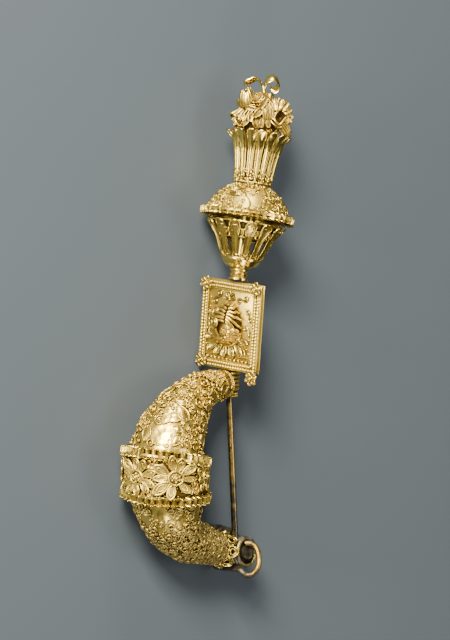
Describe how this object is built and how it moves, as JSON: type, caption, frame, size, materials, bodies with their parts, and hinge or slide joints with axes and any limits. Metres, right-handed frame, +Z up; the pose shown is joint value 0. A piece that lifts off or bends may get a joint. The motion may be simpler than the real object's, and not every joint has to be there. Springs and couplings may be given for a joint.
{
  "type": "fibula brooch",
  "caption": "Ornate gold arch brooch: a ruffled bow, a square foot with a relief head, a flower finial, and a sprung pin that swings out of its catch.",
  "frame": {"origin": "bottom centre of the brooch's box as it lies on its left side on a flat surface", "axes": "+Y along the pin from the spring to the finial, +X to the brooch's back, +Z up"},
  "size_m": [0.0402, 0.1006, 0.019],
  "materials": {
    "yellow_gold": "satin yellow gold sheet with filigree and fine grains, brown in the recesses",
    "pale_gold": "brighter pale gold, polished on the raised places",
    "tarnished_wire": "dark tarnished spring wire with a rough grey crust and a few gold spots",
    "pin_wire": "golden brown pin wire, dark with tarnish towards the spring"
  },
  "bodies": {
    "brooch": {"bow": "yellow_gold", "band_sleeve": "yellow_gold", "band_ruffle_upper": "yellow_gold", "band_ruffle_lower": "yellow_gold", "band_rosette_1": "pale_gold", "band_rosette_2": "pale_gold", "band_rosette_3": "pale_gold", "band_rosette_4": "pale_gold", "band_rosette_5": "pale_gold", "band_rosette_6": "pale_gold", "bow_collar_upper": "yellow_gold", "bow_collar_lower": "pale_gold", "plate": "yellow_gold", "relief_head": "yellow_gold", "corner_rosette_1": "pale_gold", "corner_rosette_2": "pale_gold", "corner_rosette_3": "pale_gold", "corner_rosette_4": "pale_gold", "catch_sheath": "yellow_gold", "neck": "yellow_gold", "saucer": "pale_gold", "basket": "yellow_gold", "basket_stem": "pale_gold", "rim": "yellow_gold", "dome": "pale_gold", "calyx": "yellow_gold", "flower_bunch": "pale_gold", "tendrils": "yellow_gold", "spring": "tarnished_wire", "spring_core": "tarnished_wire"},
    "pin_body": {"pin": "pin_wire"}
  },
  "joints": [
    {"name": "pin_swing", "type": "hinge", "parent": "brooch", "child": "pin_body", "pos_m": [0.0112, -0.04501, 0.00772], "axis": [-0.17, -0.0665, -0.9832], "range_deg": [0, 25], "stiffness_Nm_per_rad": 0.0008}
  ]
}
